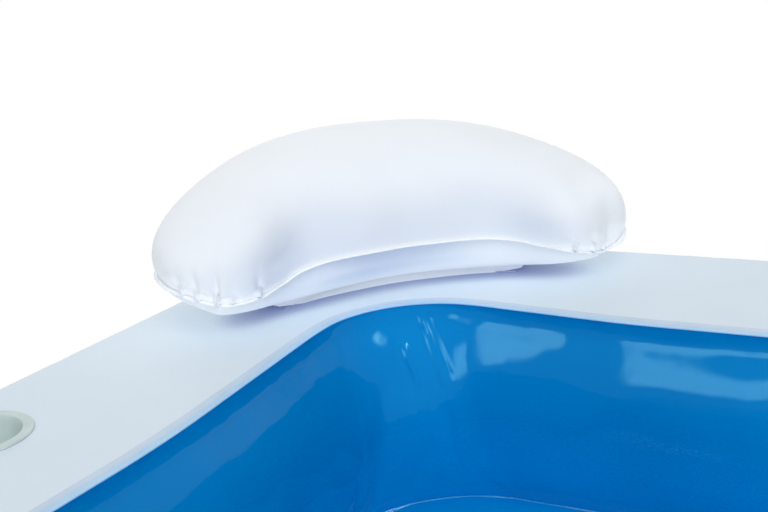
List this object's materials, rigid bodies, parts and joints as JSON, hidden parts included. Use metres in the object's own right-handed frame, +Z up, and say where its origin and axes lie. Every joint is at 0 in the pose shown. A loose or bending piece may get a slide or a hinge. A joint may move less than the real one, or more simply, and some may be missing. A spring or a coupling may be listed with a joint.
{
  "type": "inflatable family pool",
  "caption": "Inflatable family pool: square ring wall of stacked air chambers with a flat top deck, corner seats, curved headrest pillows on the corners and drink holders let into the deck.",
  "frame": {"origin": "on the ground under the middle of the pool", "axes": "+X along the longer side, +Y along the shorter side towards the pictured corner, +Z up. The pictured corner is the one at -X +Y."},
  "size_m": [2.1288, 2.076, 0.696],
  "materials": {
    "blue_vinyl": "glossy blue vinyl film",
    "clear_vinyl": "moulded semi-clear vinyl",
    "floor_vinyl": "glossy blue vinyl sheet",
    "web_vinyl": "pale unprinted vinyl film",
    "white_vinyl": "matte white vinyl film"
  },
  "bodies": {
    "pool": {"base_panel": "blue_vinyl", "chamber_divider": "web_vinyl", "cup_holder_left": "clear_vinyl", "cup_holder_right": "clear_vinyl", "deck_panel": "white_vinyl", "drain_flange": "white_vinyl", "floor_sheet": "floor_vinyl", "headrest_back_left_lower_panel": "white_vinyl", "headrest_back_left_upper_panel": "white_vinyl", "headrest_back_left_valve_flange": "clear_vinyl", "headrest_back_left_weld_patch": "white_vinyl", "headrest_back_right_lower_panel": "white_vinyl", "headrest_back_right_upper_panel": "white_vinyl", "headrest_back_right_valve_flange": "clear_vinyl", "headrest_back_right_weld_patch": "white_vinyl", "headrest_front_left_lower_panel": "white_vinyl", "headrest_front_left_upper_panel": "white_vinyl", "headrest_front_left_valve_flange": "clear_vinyl", "headrest_front_left_weld_patch": "white_vinyl", "headrest_front_right_lower_panel": "white_vinyl", "headrest_front_right_upper_panel": "white_vinyl", "headrest_front_right_valve_flange": "clear_vinyl", "headrest_front_right_weld_patch": "white_vinyl", "lower_chamber_valve_flange": "clear_vinyl", "lower_inner_wall": "blue_vinyl", "lower_outer_wall": "blue_vinyl", "lower_web": "web_vinyl", "seat_back_left_front": "blue_vinyl", "seat_back_left_top": "blue_vinyl", "seat_back_right_front": "blue_vinyl", "seat_back_right_top": "blue_vinyl", "seat_front_left_front": "blue_vinyl", "seat_front_left_top": "blue_vinyl", "seat_front_right_front": "blue_vinyl", "seat_front_right_top": "blue_vinyl", "upper_chamber_valve_flange": "clear_vinyl", "upper_inner_wall": "blue_vinyl", "upper_outer_wall": "blue_vinyl", "upper_web": "web_vinyl"},
    "upper_chamber_valve_stem": {"upper_chamber_valve_stem": "clear_vinyl"},
    "upper_chamber_valve_cap": {"upper_chamber_valve_cap": "clear_vinyl"},
    "upper_chamber_valve_flap": {"upper_chamber_valve_flap": "clear_vinyl"},
    "lower_chamber_valve_stem": {"lower_chamber_valve_stem": "clear_vinyl"},
    "lower_chamber_valve_cap": {"lower_chamber_valve_cap": "clear_vinyl"},
    "lower_chamber_valve_flap": {"lower_chamber_valve_flap": "clear_vinyl"},
    "headrest_back_left_valve_stem": {"headrest_back_left_valve_stem": "clear_vinyl"},
    "headrest_back_left_valve_cap": {"headrest_back_left_valve_cap": "clear_vinyl"},
    "headrest_back_left_valve_flap": {"headrest_back_left_valve_flap": "clear_vinyl"},
    "headrest_back_right_valve_stem": {"headrest_back_right_valve_stem": "clear_vinyl"},
    "headrest_back_right_valve_cap": {"headrest_back_right_valve_cap": "clear_vinyl"},
    "headrest_back_right_valve_flap": {"headrest_back_right_valve_flap": "clear_vinyl"},
    "headrest_front_left_valve_stem": {"headrest_front_left_valve_stem": "clear_vinyl"},
    "headrest_front_left_valve_cap": {"headrest_front_left_valve_cap": "clear_vinyl"},
    "headrest_front_left_valve_flap": {"headrest_front_left_valve_flap": "clear_vinyl"},
    "headrest_front_right_valve_stem": {"headrest_front_right_valve_stem": "clear_vinyl"},
    "headrest_front_right_valve_cap": {"headrest_front_right_valve_cap": "clear_vinyl"},
    "headrest_front_right_valve_flap": {"headrest_front_right_valve_flap": "clear_vinyl"},
    "drain_cap": {"drain_cap": "white_vinyl"}
  },
  "joints": [
    {"name": "upper_chamber_stem_slide", "type": "slide", "parent": "pool", "child": "upper_chamber_valve_stem", "axis": [0, -1, 0], "range_m": [0, 0.011]},
    {"name": "upper_chamber_cap_hinge", "type": "hinge", "parent": "upper_chamber_valve_stem", "child": "upper_chamber_valve_cap", "pos_m": [-0.16, -1.03628, 0.34077], "axis": [1, 0, 0], "range_deg": [0, 165]},
    {"name": "upper_chamber_flap_hinge", "type": "hinge", "parent": "upper_chamber_valve_stem", "child": "upper_chamber_valve_flap", "pos_m": [-0.16, -1.01192, 0.36068], "axis": [1, 0, 0], "range_deg": [0, 50]},
    {"name": "lower_chamber_stem_slide", "type": "slide", "parent": "pool", "child": "lower_chamber_valve_stem", "axis": [0, 1, 0], "range_m": [0, 0.011]},
    {"name": "lower_chamber_cap_hinge", "type": "hinge", "parent": "lower_chamber_valve_stem", "child": "lower_chamber_valve_cap", "pos_m": [0.16, 1.03628, 0.1093], "axis": [-1, 0, 0], "range_deg": [0, 165]},
    {"name": "lower_chamber_flap_hinge", "type": "hinge", "parent": "lower_chamber_valve_stem", "child": "lower_chamber_valve_flap", "pos_m": [0.16, 1.01192, 0.1292], "axis": [-1, 0, 0], "range_deg": [0, 50]},
    {"name": "headrest_back_left_stem_slide", "type": "slide", "parent": "pool", "child": "headrest_back_left_valve_stem", "axis": [-0.5351, 0.5751, 0.6188], "range_m": [0, 0.011]},
    {"name": "headrest_back_left_cap_hinge", "type": "hinge", "parent": "headrest_back_left_valve_stem", "child": "headrest_back_left_valve_cap", "pos_m": [-0.89236, 0.89097, 0.64805], "axis": [-0.7321, -0.6812, 0], "range_deg": [0, 165]},
    {"name": "headrest_back_left_flap_hinge", "type": "hinge", "parent": "headrest_back_left_valve_stem", "child": "headrest_back_left_valve_flap", "pos_m": [-0.87094, 0.86796, 0.64862], "axis": [-0.7321, -0.6812, 0], "range_deg": [0, 50]},
    {"name": "headrest_back_right_stem_slide", "type": "slide", "parent": "pool", "child": "headrest_back_right_valve_stem", "axis": [0.5351, 0.5751, 0.6188], "range_m": [0, 0.011]},
    {"name": "headrest_back_right_cap_hinge", "type": "hinge", "parent": "headrest_back_right_valve_stem", "child": "headrest_back_right_valve_cap", "pos_m": [0.89236, 0.89097, 0.64805], "axis": [-0.7321, 0.6812, 0], "range_deg": [0, 165]},
    {"name": "headrest_back_right_flap_hinge", "type": "hinge", "parent": "headrest_back_right_valve_stem", "child": "headrest_back_right_valve_flap", "pos_m": [0.87094, 0.86796, 0.64862], "axis": [-0.7321, 0.6812, 0], "range_deg": [0, 50]},
    {"name": "headrest_front_left_stem_slide", "type": "slide", "parent": "pool", "child": "headrest_front_left_valve_stem", "axis": [-0.5351, -0.5751, 0.6188], "range_m": [0, 0.011]},
    {"name": "headrest_front_left_cap_hinge", "type": "hinge", "parent": "headrest_front_left_valve_stem", "child": "headrest_front_left_valve_cap", "pos_m": [-0.89236, -0.89097, 0.64805], "axis": [0.7321, -0.6812, 0], "range_deg": [0, 165]},
    {"name": "headrest_front_left_flap_hinge", "type": "hinge", "parent": "headrest_front_left_valve_stem", "child": "headrest_front_left_valve_flap", "pos_m": [-0.87094, -0.86796, 0.64862], "axis": [0.7321, -0.6812, 0], "range_deg": [0, 50]},
    {"name": "headrest_front_right_stem_slide", "type": "slide", "parent": "pool", "child": "headrest_front_right_valve_stem", "axis": [0.5351, -0.5751, 0.6188], "range_m": [0, 0.011]},
    {"name": "headrest_front_right_cap_hinge", "type": "hinge", "parent": "headrest_front_right_valve_stem", "child": "headrest_front_right_valve_cap", "pos_m": [0.89236, -0.89097, 0.64805], "axis": [0.7321, 0.6812, 0], "range_deg": [0, 165]},
    {"name": "headrest_front_right_flap_hinge", "type": "hinge", "parent": "headrest_front_right_valve_stem", "child": "headrest_front_right_valve_flap", "pos_m": [0.87094, -0.86796, 0.64862], "axis": [0.7321, 0.6812, 0], "range_deg": [0, 50]},
    {"name": "drain_cap_hinge", "type": "hinge", "parent": "pool", "child": "drain_cap", "pos_m": [-0.02181, -0.584, 0.01273], "axis": [0, -1, 0], "range_deg": [0, 160]}
  ]
}
